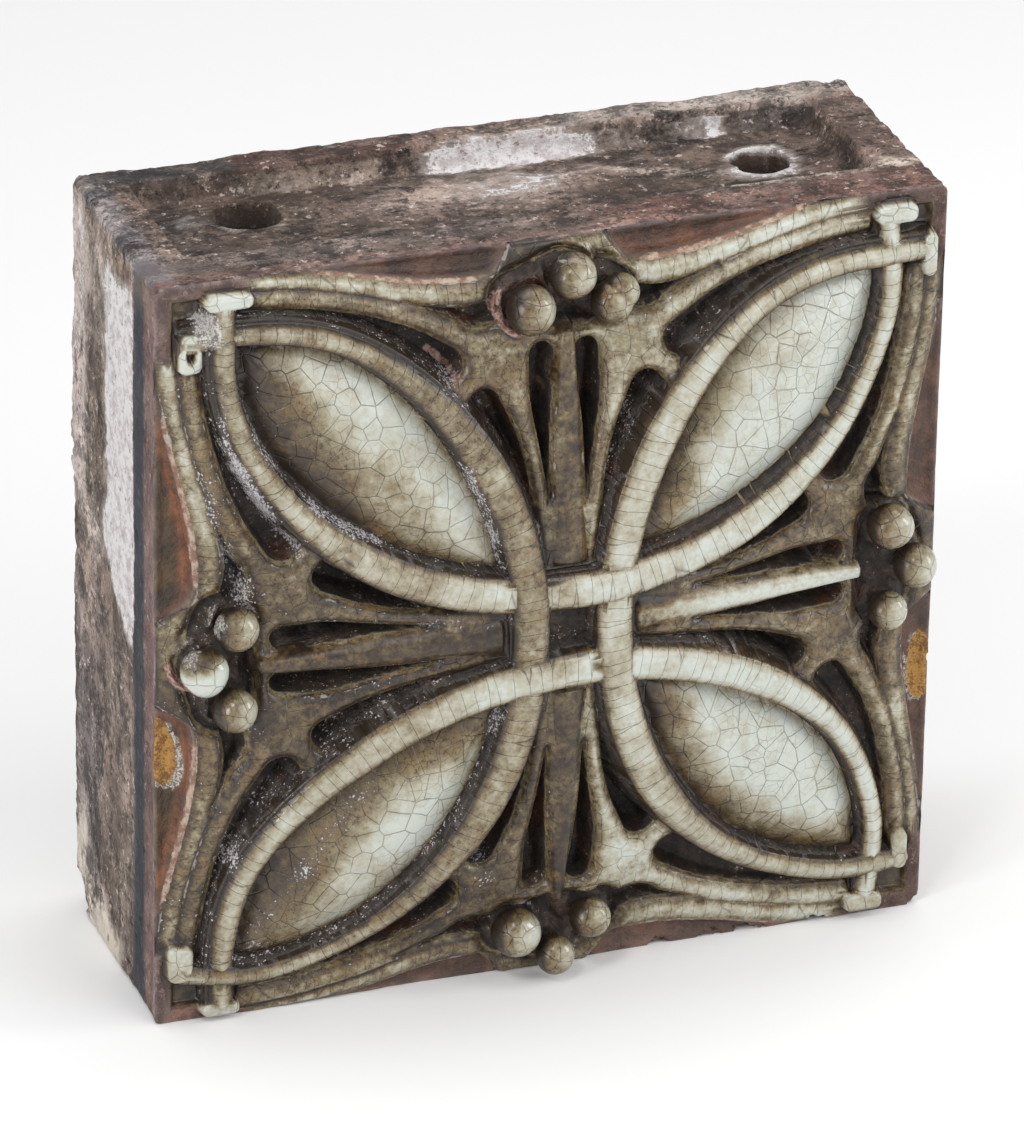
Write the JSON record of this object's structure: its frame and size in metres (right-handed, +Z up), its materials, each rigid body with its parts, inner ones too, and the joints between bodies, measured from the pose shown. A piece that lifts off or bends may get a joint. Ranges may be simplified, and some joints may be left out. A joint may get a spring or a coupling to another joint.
{
  "type": "terracotta facade block",
  "caption": "Square hollow glazed terracotta facing block with a cushioned face of interlacing arcs, almond petals, stalks and berries, open at the back and drilled for anchors in its top bed.",
  "frame": {"origin": "middle of the bounding box's underside, on the bed that the block stands on", "axes": "+Z up through the block to its top bed, -Y out of the decorated face, +X to the viewer's right when facing the decorated face"},
  "size_m": [0.4, 0.1732, 0.394],
  "materials": {
    "glazed_terracotta": "crazed ivory glaze on the carved face with brown dirt in its hollows, bare brown fired clay with old mortar elsewhere"
  },
  "bodies": {
    "root": {"facade_block": "glazed_terracotta"}
  },
  "joints": []
}
